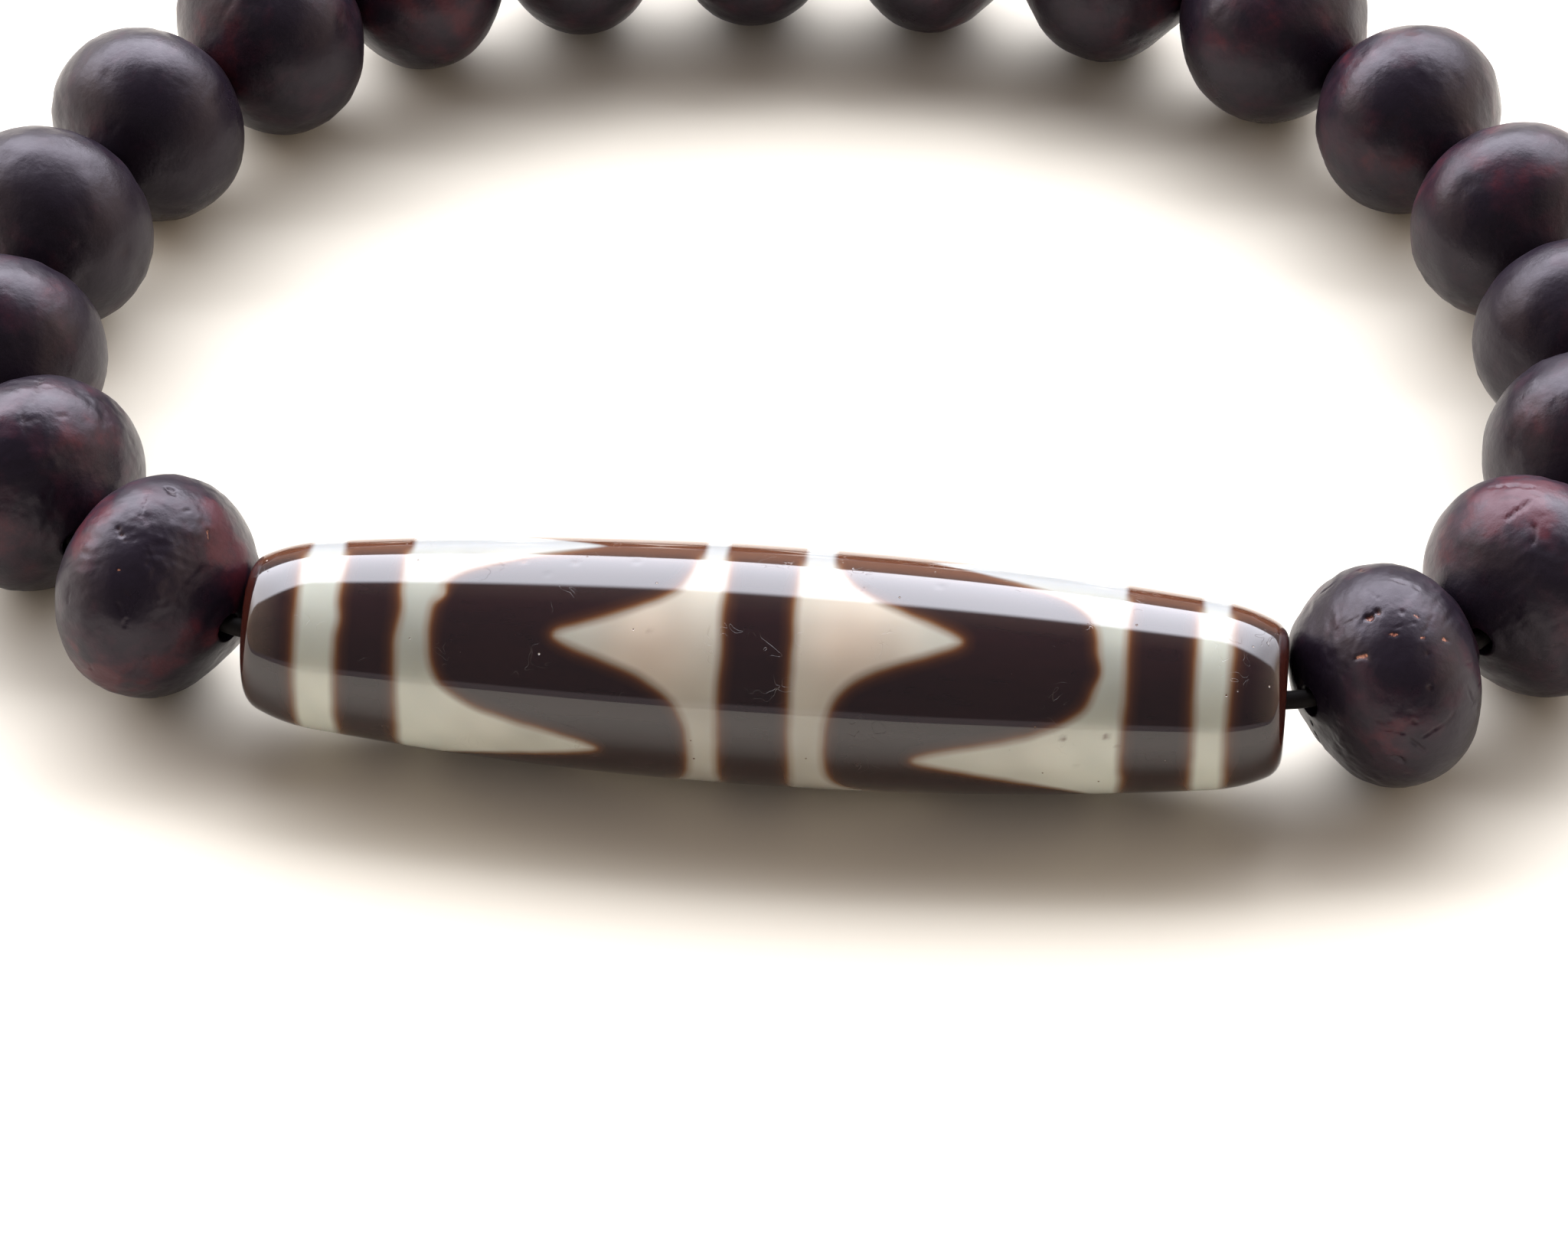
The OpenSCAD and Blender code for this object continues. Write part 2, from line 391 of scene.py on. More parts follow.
# Agate, etched with soda and dyed, then polished: glassy, with hard-edged reflections, waxy and a little
# translucent underneath, and with a soft warm brown edge where the dye crept under the white
dziFinish = {
    "whites": ("#aaaca0", "#aeaa9d", "#b7a998"),  # greenish grey at the ends, cream, and the warm blush
    "edge": [               # mm into the brown and the colour there, from the white's side
        (-0.12, "#85796b"),
        (0.01, "#6b5039"),
        (0.08, "#583722"),
        (0.17, "#412619"),
        (0.32, "#311c16"),
        (0.60, "#231415"),
    ],
    "brownDeep": "#1b1113",
    "paintedBacklitTop": "#523324",      # painted glow: the top of the brown painted lighter and warmer, as if light from behind shone through it
    "paintedTopShade": "#979997",      # painted shade: the whites greyed along the top
    "rim": "#2f130d",
    "dirt": "#5d3a28",
    "speck": "#b9aea4",
    "hairline": "#6f655f",
    "roughness": 0.045,
    "ior": 1.54,
    "waxy": 0.35,           # share of the light that passes under the surface
    "waxyDepth": 0.6,       # mm, times the radii of red, green and blue
    "waxyRadii": (1.0, 0.75, 0.55),
}


def agateMaterial():
    # The white and the brown are mixed by how deep a point lies in the brown; pores, pits and hairlines
    # lie over both. The pores are drawn about twice as wide as the real ones, so that they show.
    f = dziFinish
    material = newMaterial("Agate_etched_dyed_polished")
    tree = material.node_tree
    coordinates = addNode(tree, "ShaderNodeTexCoord")
    depth, rim, tint, pit, paintedBacklitTop, cloudsAndPaintedLight = (
        addNode(tree, "ShaderNodeAttribute", {"attribute_name": n}).outputs["Fac"]
        for n in ("brown", "rim", "tint", "pit", "paintedBacklitTop", "cloudsAndPaintedLight"))
    # whites: from -1 at the ends to 1 in the blush
    tintShare = addNode(tree, "ShaderNodeMapRange", {"From Min": -1.0, "From Max": 1.0}, {"Value": tint})
    white = setRamp(addNode(tree, "ShaderNodeValToRGB", None, {"Fac": tintShare.outputs["Result"]}),
                    [(i / 2, linearColour(c)) for i, c in enumerate(f["whites"])])
    # the whites scaled by their random clouds and by the painted light and shade
    cloudsAndLightFactor = addNode(tree, "ShaderNodeMath", {"operation": "ADD", 1: 1.0}, {0: cloudsAndPaintedLight})
    whitesCloudedAndLit = addNode(tree, "ShaderNodeVectorMath", {"operation": "SCALE"},
                    {0: white.outputs["Color"], "Scale": cloudsAndLightFactor.outputs[0]})
    # the brown by its depth, from 0.5 mm outside its edge to 1 mm inside it
    edgeLow, edgeHigh = -0.5, 1.0
    share = addNode(tree, "ShaderNodeMapRange", {"From Min": edgeLow, "From Max": edgeHigh},
                    {"Value": depth})
    brown = setRamp(addNode(tree, "ShaderNodeValToRGB", None, {"Fac": share.outputs["Result"]}),
                    [((d - edgeLow) / (edgeHigh - edgeLow), linearColour(c)) for d, c in f["edge"]])
    # and faint darker streaks in it that run along the bead, 5 mm long and 0.8 mm wide
    stretch = addNode(tree, "ShaderNodeMapping", {"Scale": (200.0, 1250.0, 1250.0)},
                      {"Vector": coordinates.outputs["Object"]})
    streaks = addNode(tree, "ShaderNodeTexNoise", {"Scale": 1.0, "Detail": 3.0},
                      {"Vector": stretch.outputs["Vector"]})
    streakShare = addNode(tree, "ShaderNodeMapRange", {"From Min": 0.42, "From Max": 0.7, "To Max": 0.6},
                          {"Value": streaks.outputs["Fac"]})
    inBrown = addNode(tree, "ShaderNodeMapRange", {"From Min": 0.3, "From Max": 0.9}, {"Value": depth})
    streakMask = addNode(tree, "ShaderNodeMath", {"operation": "MULTIPLY"},
                         {0: streakShare.outputs["Result"], 1: inBrown.outputs["Result"]})
    streaked = addNode(tree, "ShaderNodeMix", {"data_type": "RGBA", 7: linearColour(f["brownDeep"])},
                       {0: streakMask.outputs[0], 6: brown.outputs["Color"]})
    # painted glow: the top of the brown painted lighter and warmer
    paintedGlowBrown = addNode(tree, "ShaderNodeMix", {"data_type": "RGBA", 7: linearColour(f["paintedBacklitTop"])},
                      {0: paintedBacklitTop, 6: streaked.outputs[2]})
    rimmed = addNode(tree, "ShaderNodeMix", {"data_type": "RGBA", 7: linearColour(f["rim"])},
                     {0: rim, 6: paintedGlowBrown.outputs[2]})
    toBrown = addNode(tree, "ShaderNodeMapRange",
                      {"interpolation_type": "SMOOTHSTEP", "From Min": -0.42, "From Max": -0.06},
                      {"Value": depth})
    # painted shade: the whites greyed along the top, under the same mask as the painted glow
    whitesTopShaded = addNode(tree, "ShaderNodeMix", {"data_type": "RGBA", 7: linearColour(f["paintedTopShade"])},
                      {0: paintedBacklitTop, 6: whitesCloudedAndLit.outputs[0]})
    plain = addNode(tree, "ShaderNodeMix", {"data_type": "RGBA"},
                    {0: toBrown.outputs["Result"], 6: whitesTopShaded.outputs[2], 7: rimmed.outputs[2]})
    # pores 0.1 mm wide in cells of 1 mm, few of which lie at the surface: dark in the white, pale in the
    # brown
    cells = addNode(tree, "ShaderNodeTexVoronoi", {"Scale": 1000.0},
                    {"Vector": coordinates.outputs["Object"]})
    inPore = addNode(tree, "ShaderNodeMapRange",
                     {"From Min": 0.03, "From Max": 0.055, "To Min": 1.0, "To Max": 0.0},
                     {"Value": cells.outputs["Distance"]})
    pick = addNode(tree, "ShaderNodeSeparateColor", None, {"Color": cells.outputs["Color"]})
    few = addNode(tree, "ShaderNodeMath", {"operation": "GREATER_THAN", 1: 0.35}, {0: pick.outputs[0]})
    pore = addNode(tree, "ShaderNodeMath", {"operation": "MULTIPLY"},
                   {0: inPore.outputs["Result"], 1: few.outputs[0]})
    speck = addNode(tree, "ShaderNodeMix",
                    {"data_type": "RGBA", 6: linearColour(f["dirt"]), 7: linearColour(f["speck"])},
                    {0: inBrown.outputs["Result"]})
    pored = addNode(tree, "ShaderNodeMix", {"data_type": "RGBA"},
                    {0: pore.outputs[0], 6: plain.outputs[2], 7: speck.outputs[2]})
    # the charted pits: dirt in the white, a darker brown in the brown
    inPit = addNode(tree, "ShaderNodeMix",
                    {"data_type": "RGBA", 6: linearColour(f["dirt"]), 7: linearColour(f["brownDeep"])},
                    {0: inBrown.outputs["Result"]})
    pitted = addNode(tree, "ShaderNodeMix", {"data_type": "RGBA"},
                     {0: pit, 6: pored.outputs[2], 7: inPit.outputs[2]})
    # curly hairlines 0.03 mm wide, where a 1 mm noise passes its middle value, in a few patches only
    curls = addNode(tree, "ShaderNodeTexNoise", {"Scale": 1000.0, "Detail": 1.0, "Distortion": 1.2},
                    {"Vector": coordinates.outputs["Object"]})
    fromMiddle = addNode(tree, "ShaderNodeMath", {"operation": "SUBTRACT", 1: 0.5},
                         {0: curls.outputs["Fac"]})
    size = addNode(tree, "ShaderNodeMath", {"operation": "ABSOLUTE"}, {0: fromMiddle.outputs[0]})
    hair = addNode(tree, "ShaderNodeMapRange",
                   {"From Min": 0.001, "From Max": 0.005, "To Min": 1.0, "To Max": 0.0},
                   {"Value": size.outputs[0]})
    somewhere = addNode(tree, "ShaderNodeTexNoise", {"Scale": 420.0, "Detail": 2.0},
                        {"Vector": coordinates.outputs["Object"]})
    patch = addNode(tree, "ShaderNodeMapRange", {"From Min": 0.6, "From Max": 0.75, "To Max": 0.35},
                    {"Value": somewhere.outputs["Fac"]})
    hairShare = addNode(tree, "ShaderNodeMath", {"operation": "MULTIPLY"},
                        {0: hair.outputs["Result"], 1: patch.outputs["Result"]})
    colour = addNode(tree, "ShaderNodeMix", {"data_type": "RGBA", 7: linearColour(f["hairline"])},
                     {0: hairShare.outputs[0], 6: pitted.outputs[2]})
    hollow = addNode(tree, "ShaderNodeMath", {"operation": "MAXIMUM"},
                     {0: pore.outputs[0], 1: hairShare.outputs[0]})
    sunk = addNode(tree, "ShaderNodeBump", {"Strength": 1.0, "Distance": 0.03 * mm, "invert": True},
                   {"Height": hollow.outputs[0]})
    shader = addNode(tree, "ShaderNodeBsdfPrincipled",
                     {"Roughness": f["roughness"], "IOR": f["ior"], "Subsurface Weight": f["waxy"],
                      "Subsurface Radius": f["waxyRadii"], "Subsurface Scale": f["waxyDepth"] * mm},
                     {"Base Color": colour.outputs[2], "Normal": sunk.outputs["Normal"]})
    addNode(tree, "ShaderNodeOutputMaterial", None, {"Surface": shader.outputs["BSDF"]})
    return material


# The seed beads

seedShape = {
    "bellyRadius": 3.6,     # mm, the arc of the belly
    "drilled": 1.2,         # mm, radius of the drilled mouth with its bevel
    "holeRadius": 0.55,     # the torn skin closes on the thread
    "bevel": 0.15,
    "lump": (0.09, 6.0),    # mm, depth of the broad hollows and their distance
    "ripple": (0.035, 1.7),  # and those of the small ones
    "wrinkle": (0.020, 0.9),  # mm, height of the fine wrinkles of the dried skin and their distance
    "pressed": 0.15,        # mm, the most that a bead swells towards a neighbour it is pressed on
    "apart": 0.025,         # mm that stay between the two
    "radius": 4.8,          # mm, at which an angle round the bead is taken as a distance
    "grids": {"seed_bead_01": (0.085, 372), "seed_bead_18": (0.085, 372),
              "seed_bead_02": (0.12, 250), "seed_bead_17": (0.12, 250)},
    "farGrid": (0.23, 130),  # mm between points along the outline, points round it
}
seedWear = {                # what every bead has besides its charted marks, drawn at random
    "flats": 7,
    "flatRise": (-20, 70),  # degrees up
    "flatDepth": (0.02, 0.07),  # mm
    "flatSoftness": 0.3,    # mm
    "marks": 18,
    "along": (-3.2, 3.2),   # mm
    "around": (-40, 220),   # degrees, so none lie underneath
    "halfLength": (0.09, 0.35),  # mm on the finest grid
    "halfWidth": (0.06, 0.1),
    "deep": (0.015, 0.04),  # mm
    "bare": (0, 0.4),       # share laid bare
}
seedFacets = {              # worn flats: degrees round from +X, degrees up, mm worn off, mm of softness
    "seed_bead_01": [(2, 4, 0.26, 1.0), (35, 30, 0.10, 0.5)],
    "seed_bead_18": [(180, 2, 0.22, 0.7), (268, -40, 0.12, 0.5), (330, 35, 0.10, 0.4)],
}
# Scars and chips: mm along, degrees round, half length and half width in mm, degrees turned, mm deep,
# share laid bare
seedMarks = {
    "seed_bead_01": [
        (-1.50, 94, 0.38, 0.17, 18, 0.14, 1.0),
        (-2.35, 88, 0.55, 0.06, 25, 0.04, 0.3),
        (-1.10, 110, 0.30, 0.09, 20, 0.03, 1.0),
        (-0.45, 108, 0.80, 0.07, 5, 0.03, 0.1),
        (0.25, 106, 0.16, 0.06, 60, 0.02, 1.0),
        (0.05, 117, 0.16, 0.07, 30, 0.02, 1.0),
        (0.55, 112, 0.90, 0.09, -35, 0.02, 0.0),
        (1.20, 121, 0.26, 0.08, 30, 0.03, 1.0),
        (-2.55, 114, 0.36, 0.14, 52, 0.07, 1.0),
        (0.05, 126, 0.13, 0.10, 0, 0.03, 0.5),
        (-0.3, 142, 0.16, 0.09, 30, 0.04, 0.5),
        (-1.30, 158, 0.15, 0.09, 60, 0.04, 0.5),
        (-1.95, 164, 0.65, 0.06, 20, 0.07, 0.1),
        (-1.30, 172, 0.75, 0.07, 48, 0.08, 0.1),
        (-0.55, 166, 0.55, 0.06, -20, 0.06, 0.1),
        (-1.90, 184, 0.30, 0.16, 30, 0.11, 0.2),
        (-0.40, 57, 0.30, 0.15, 80, 0.04, 0.7),
        (0.55, 83, 0.60, 0.07, 50, 0.03, 0.4),
        (-0.9, 84, 0.45, 0.06, 75, 0.04, 0.1),
        (-3.30, 268, 0.50, 0.30, 40, 0.11, 0.2),
        (1.9, 158, 0.70, 0.08, 70, 0.05, 0.0),
        (2.3, 138, 0.50, 0.07, 10, 0.03, 0.0),
    ],
    "seed_bead_18": [
        (0.10, 73, 0.28, 0.18, 20, 0.10, 0.45),
        (-0.15, 90, 0.85, 0.05, 62, 0.06, 0.1),
        (-0.25, 109, 0.30, 0.10, 20, 0.06, 0.5),
        (0.35, 112, 0.14, 0.05, -20, 0.03, 0.6),
        (2.55, 74, 0.24, 0.07, 40, 0.04, 0.8),
        (0.75, 127, 0.10, 0.07, 0, 0.03, 0.9),
        (1.6, 112, 0.60, 0.05, 35, 0.03, 0.0),
        (-1.2, 150, 0.70, 0.05, 75, 0.03, 0.0),
    ],
    "seed_bead_02": [
        (0.4, 70, 1.1, 0.10, 70, 0.09, 0.3),
        (-0.8, 82, 0.8, 0.10, 20, 0.08, 0.2),
        (-1.5, 96, 0.5, 0.12, -30, 0.07, 0.3),
    ],
    "seed_bead_17": [
        (-0.6, 80, 1.2, 0.10, 35, 0.06, 0.4),
        (0.9, 96, 0.7, 0.10, 15, 0.04, 0.3),
    ],
}
seedRed = {                 # how red each one is by and large, from -1 to 1; 0 where it isn't named
    "seed_bead_01": -0.35,
    "seed_bead_03": 0.1,
    "seed_bead_04": -0.3,
    "seed_bead_05": 0.1,
    "seed_bead_06": 0.1,
    "seed_bead_08": 0.1,
    "seed_bead_09": 0.1,
    "seed_bead_11": 0.1,
    "seed_bead_12": 0.1,
    "seed_bead_14": -0.5,
    "seed_bead_15": -0.45,
    "seed_bead_16": -0.2,
    "seed_bead_17": -0.1,
    "seed_bead_18": -0.3,
}
seedPatches = {             # thin-skinned spots: mm along, degrees round, mm across, how red
    "seed_bead_01": [
        (-1.4, 167, 1.4, 0.65),
        (-0.4, 57, 0.8, 0.9),
        (-2.5, 80, 1.0, 0.5),
        (2.2, 150, 2.2, 0.35),
    ],
    "seed_bead_18": [
        (-2.4, 107, 1.6, 0.9),
        (2.9, 60, 1.8, 0.8),
        (2.6, 175, 3.0, 0.9),
        (-0.3, 200, 2.0, 0.8),
        (-1.2, 128, 0.9, 0.5),
        (0.4, 140, 2.6, -0.8),
    ],
    "seed_bead_02": [
        (0.0, 80, 2.6, 0.8),
    ],
    "seed_bead_17": [
        (0.6, 88, 2.2, 0.7),
    ],
}


def seedProfile(place, step):
    # A belly arc, and an arc round a point on the hole's line that closes the bead at each end
    s = seedShape
    half, belly = place["length"] / 2, s["bellyRadius"]
    inset = place["diameter"] / 2 - belly
    # the CAD solid's length is measured at its bevel, so the end arc's own length is worked out from it
    full = half
    for refinement in range(20):
        endRadius = (inset ** 2 + full ** 2 - belly ** 2) / (2 * (full - belly))
        full = half + endRadius - math.sqrt(endRadius ** 2 - s["drilled"] ** 2)
    lean = math.atan2(endRadius - full, inset)
    mouth = s["holeRadius"] + s["bevel"]
    arcs = [(belly, lean), (endRadius, math.acos(mouth / endRadius))]
    return closedProfile(arcChain(place["diameter"] / 2, arcs, step), s["holeRadius"], s["bevel"], step)


def roomTo(points, name):
    # Room in mm between points and a neighbour's plain outline, in the plane through the neighbour's
    # hole line: x = away . along, r = |away - x along|. Points well off its ends only get a large number.
    place = places[name]
    step, reach, plenty = 0.15, 2.5, 9.0
    outline = dziProfile(place, step) if name == "dzi_bead" else seedProfile(place, step)
    away = points - place["centre"]
    x = away @ place["along"]
    r = np.sqrt(np.maximum((away ** 2).sum(-1) - x ** 2, 0))
    room = np.full(x.shape, plenty)
    near = np.abs(x) < place["length"] / 2 + reach
    room[near] = lineDistance(np.stack([x[near], r[near]], 1), np.concatenate([outline, outline[:1]]))
    return room


def wornOff(spot, heading, rise, depth, softness):
    # A flat with a soft edge: (over + sqrt(over ^ 2 + softness ^ 2)) / 2, where over is how far a point
    # stands over a level set so that the farthest point loses the whole depth
    a, b = math.radians(heading), math.radians(rise)
    height = spot @ np.array([math.cos(a) * math.cos(b), math.sin(a) * math.cos(b), math.sin(b)])
    over = height - height.max() + depth - softness ** 2 / (4 * depth)
    return (over + np.sqrt(over ** 2 + softness ** 2)) / 2


def markShape(x, angle, mark, rag):
    # 1 inside an oval mark, 0 outside, by q = sqrt((p / long)^2 + (w / wide)^2), where p and w are measured
    # along the oval and across it; a wave bends it and smooth noise makes it ragged
    where, at, long, wide, turnedBy = mark[:5]
    dx, ds = x - where, np.radians(wrapDegrees(angle - at)) * seedShape["radius"]
    c, s = math.cos(math.radians(turnedBy)), math.sin(math.radians(turnedBy))
    p, w = dx * c + ds * s, ds * c - dx * s
    w = w + 0.25 * wide * np.sin(p * 5.0 + where * 9)
    q = np.sqrt((p / long) ** 2 + (w / wide) ** 2) + 0.5 * rag
    return smoothStep(1.2, 0.5, q)


def makeSeed(number, name, material):
    # The turned outline, less what is worn, hollow, rippled, creased and dug, and swollen towards its
    # neighbours
    s = seedShape
    w = seedWear
    place = places[name]
    step, columns = s["grids"].get(name, s["farGrid"])
    profile = seedProfile(place, step)
    plain = turned(profile, columns, place) / mm
    spot = plain - place["centre"]
    x = spot @ place["along"]
    angle = np.degrees(np.arctan2(spot[..., 2], spot @ place["inward"]))
    random = np.random.default_rng(500 + number)

    # the neighbours: lumps fade where they touch, and the shell swells along its hole line into the room
    # that the solids leave between them, into half of it where the neighbour is a seed too
    touch = np.zeros(x.shape)
    lumpy = smoothStep(0.0, 1.5, plain[..., 2])
    for other in (loopNames[number - 1], loopNames[(number + 1) % len(loopNames)]):
        room = roomTo(plain, other)
        share = 1.0 if other == "dzi_bead" else 0.5
        closing = np.minimum(share * (room - s["apart"]), s["pressed"])
        touch = touch + closing * smoothStep(2.0, 0.5, room) * np.sign(x)
        lumpy = lumpy * smoothStep(0.3, 1.3, room)

    # worn flats, hollows, ripples and creases
    flats = list(seedFacets.get(name, []))
    for k in range(w["flats"]):
        flats.append((random.uniform(0, 360), random.uniform(*w["flatRise"]),
                      random.uniform(*w["flatDepth"]), w["flatSoftness"]))
    worn = sum(wornOff(spot, *flat) for flat in flats)
    lump, lumpLength = s["lump"]
    ripple, rippleLength = s["ripple"]
    wrinkle, wrinkleLength = s["wrinkle"]
    hollows = lump * (0.5 + 0.5 * waves(plain, lumpLength, 100 + number))
    ripples = ripple * (0.5 + 0.5 * waves(plain, rippleLength, 200 + number))
    patchy = 0.25 + 0.75 * smoothStep(-0.3, 0.6, waves(plain, 4.0, 250 + number))  # wrinkled in patches
    way = random.normal(size=3)
    way /= np.linalg.norm(way)
    drawn = plain - 0.65 * (plain @ way)[..., None] * way  # the wrinkles are three times as long as wide
    creases = waves(drawn, wrinkleLength, 260 + number)
    creases = wrinkle * patchy * (creases + 0.5 * waves(drawn, wrinkleLength / 2, 265 + number))

    # marks: the charted ones and some small ones all over, larger where the grid is coarser
    rag = waves(plain, 0.45, 270 + number, 64)
    coarse = step / s["grids"]["seed_bead_01"][0]
    marks = list(seedMarks.get(name, []))
    for k in range(w["marks"]):
        marks.append((random.uniform(*w["along"]), random.uniform(*w["around"]),
                      coarse * random.uniform(*w["halfLength"]), coarse * random.uniform(*w["halfWidth"]),
                      random.uniform(0, 180), random.uniform(*w["deep"]), random.uniform(*w["bare"])))
    dug = np.zeros(x.shape)
    bare = np.zeros(x.shape)
    for mark in marks:
        inside = markShape(x, angle, mark, rag)
        dug = np.maximum(dug, mark[5] * inside)
        bare = np.maximum(bare, mark[6] * inside)

    outside = smoothStep(s["holeRadius"], s["holeRadius"] + 0.8, profile[:, 1:])
    inward = worn + hollows + ripples + creases + dug
    grid = turned(profile, columns, place, -outside * inward * lumpy)
    grid = grid + touch[..., None] * place["along"] * mm

    # how red the skin is: broad and small patches, and the charted spots with ragged rims
    red = seedRed.get(name, 0.0) + 0.48 * waves(plain, 6.5, 300 + number)
    red = red + 0.25 * waves(plain, 1.8, 310 + number)
    for where, at, width, amount in seedPatches.get(name, []):
        far = np.sqrt((x - where) ** 2 + (np.radians(wrapDegrees(angle - at)) * s["radius"]) ** 2)
        red = red + amount * smoothStep(1.25, 0.6, far / width + 0.25 * waves(plain, 1.3, 320 + number))
    return meshFromGrid(name + "_shell", grid, {"red": red, "bare": bare}, material)


# Seed shell, drilled, tumbled and oiled by hand: satin, blue-black where it is worn smooth, maroon where
# the skin is thin, and pinkish brown in the chips
seedFinish = {
    "black": "#18121b",
    "maroon": "#281620",
    "red": "#411a22",
    "crevice": "#1f0d0d",
    "flesh": ("#5c2f26", "#a9745c"),
    "sheen": "#f4e8f2",     # the oil's lilac tint of the reflections
    "roughness": (0.27, 0.46),
    "ior": 1.38,
}


def seedMaterial():
    f = seedFinish
    material = newMaterial("Seed_shell_tumbled_oiled")
    tree = material.node_tree
    coordinates = addNode(tree, "ShaderNodeTexCoord")
    place = coordinates.outputs["Object"]
    red = addNode(tree, "ShaderNodeAttribute", {"attribute_name": "red"})
    bare = addNode(tree, "ShaderNodeAttribute", {"attribute_name": "bare"})
    # blotches 1.5 mm wide break up the broad patches
    blotch = addNode(tree, "ShaderNodeTexNoise", {"Scale": 650.0, "Detail": 6.0, "Roughness": 0.65},
                     {"Vector": place})
    total = addNode(tree, "ShaderNodeMath", {"operation": "MULTIPLY_ADD", 1: 0.3},
                    {0: red.outputs["Fac"], 2: blotch.outputs["Fac"]})
    skin = setRamp(addNode(tree, "ShaderNodeValToRGB", None, {"Fac": total.outputs[0]}),
                   [(0.46, linearColour(f["black"])),
                    (0.64, linearColour(f["maroon"])),
                    (0.82, linearColour(f["red"]))])
    # fibres of the flesh in the chips, 0.15 mm apart: dark between them, pale where they stand up
    fibres = addNode(tree, "ShaderNodeTexNoise", {"Scale": 6500.0, "Detail": 3.0}, {"Vector": place})
    flesh = setRamp(addNode(tree, "ShaderNodeValToRGB", None, {"Fac": fibres.outputs["Fac"]}),
                    [(0.48, linearColour(f["flesh"][0])), (0.64, linearColour(f["flesh"][1]))])
    bareShare = addNode(tree, "ShaderNodeMath", {"operation": "MULTIPLY_ADD", 1: 0.85},
                        {0: bare.outputs["Fac"], 2: fibres.outputs["Fac"]})
    bareMask = addNode(tree, "ShaderNodeMapRange", {"From Min": 1.0, "From Max": 1.3},
                       {"Value": bareShare.outputs[0]})
    torn = addNode(tree, "ShaderNodeMix", {"data_type": "RGBA", 7: linearColour(f["crevice"])},
                   {0: bare.outputs["Fac"], 6: skin.outputs["Color"]})
    colour = addNode(tree, "ShaderNodeMix", {"data_type": "RGBA"},
                     {0: bareMask.outputs["Result"], 6: torn.outputs[2], 7: flesh.outputs["Color"]})
    # worn and dull places, 3 mm apart
    dull = addNode(tree, "ShaderNodeTexNoise", {"Scale": 330.0, "Detail": 5.0, "Roughness": 0.6},
                   {"Vector": place})
    glossiest, dullest = f["roughness"]
    roughness = addNode(tree, "ShaderNodeMapRange",
                        {"From Min": 0.35, "From Max": 0.65, "To Min": glossiest, "To Max": dullest},
                        {"Value": dull.outputs["Fac"]})
    # fine grain of the skin, 0.3 mm
    grain = addNode(tree, "ShaderNodeTexNoise", {"Scale": 3200.0, "Detail": 4.0}, {"Vector": place})
    bump = addNode(tree, "ShaderNodeBump", {"Strength": 0.6, "Distance": 0.03 * mm},
                   {"Height": grain.outputs["Fac"]})
    shader = addNode(tree, "ShaderNodeBsdfPrincipled",
                     {"IOR": f["ior"], "Specular Tint": linearColour(f["sheen"])},
                     {"Base Color": colour.outputs[2], "Roughness": roughness.outputs["Result"],
                      "Normal": bump.outputs["Normal"]})
    addNode(tree, "ShaderNodeOutputMaterial", None, {"Surface": shader.outputs["BSDF"]})
    return material


# The thread

threadShape = {
    "diameter": 0.8,        # mm
    "sides": 24,
    "strands": 12,
    "strandDepth": 0.03,    # mm
    "step": 0.4,            # mm between neighbouring points
    "bendRadius": 1.2,      # mm over which a bend is averaged, each way
}


def crossing(first, second):
    # Where the hole lines of two neighbouring beads meet, seen from above; the height is the mean
    a, b = first["along"][:2], second["along"][:2]
    gap = (second["centre"] - first["centre"])[:2]
    t = (gap[0] * b[1] - gap[1] * b[0]) / (a[0] * b[1] - a[1] * b[0])
    point = first["centre"] + t * first["along"]
    point[2] = (first["centre"][2] + second["centre"][2]) / 2
    return point


def threadPath():
    # Straight runs between the crossings, sampled evenly and then averaged over the bend's length
    order = [places[n] for n in loopNames]
    corners = np.array([crossing(order[i - 1], order[i]) for i in range(len(order))])
    closed = np.concatenate([corners, corners[:1]])
    runs = np.linalg.norm(np.diff(closed, axis=0), axis=1)
    at = np.concatenate([[0], np.cumsum(runs)])
    count = round(at[-1] / threadShape["step"])
    s = np.arange(count) * at[-1] / count
    line = np.stack([np.interp(s, at, closed[:, k]) for k in range(3)], 1)
    reach = round(threadShape["bendRadius"] / threadShape["step"])
    return sum(np.roll(line, k, 0) for k in range(-reach, reach + 1)) / (2 * reach + 1)


def makeThread(material):
    # P(s, angle) = path(s) + r(angle) (cos(angle) side + sin(angle) up), with r dipping between strands
    t = threadShape
    path = threadPath()
    tangent = np.roll(path, -1, 0) - np.roll(path, 1, 0)
    tangent /= np.linalg.norm(tangent, axis=1)[:, None]
    side = np.cross(tangent, [0, 0, 1.0])
    side /= np.linalg.norm(side, axis=1)[:, None]
    up = np.cross(side, tangent)
    angle = np.arange(t["sides"]) * 2 * math.pi / t["sides"]
    r = t["diameter"] / 2 - t["strandDepth"] * (0.5 + 0.5 * np.cos(t["strands"] * angle))
    angle, r = angle[:, None, None], r[:, None, None]
    grid = (path + r * (np.cos(angle) * side + np.sin(angle) * up)) * mm
    return meshFromGrid("thread_cord", grid.transpose(1, 0, 2), {}, material)


# Rubber thread drawn from many fine strands: matte dark brown, next to nothing of it shows
threadFinish = {
    "colour": "#120d0c",
    "roughness": 0.75,
    "specular": 0.2,
}


def threadMaterial():
    f = threadFinish
    material = newMaterial("Rubber_elastic_thread_drawn")
    tree = material.node_tree
    shader = addNode(tree, "ShaderNodeBsdfPrincipled",
                     {"Base Color": linearColour(f["colour"]), "Roughness": f["roughness"],
                      "Specular IOR Level": f["specular"]})
    addNode(tree, "ShaderNodeOutputMaterial", None, {"Surface": shader.outputs["BSDF"]})
    return material


# Making the pieces

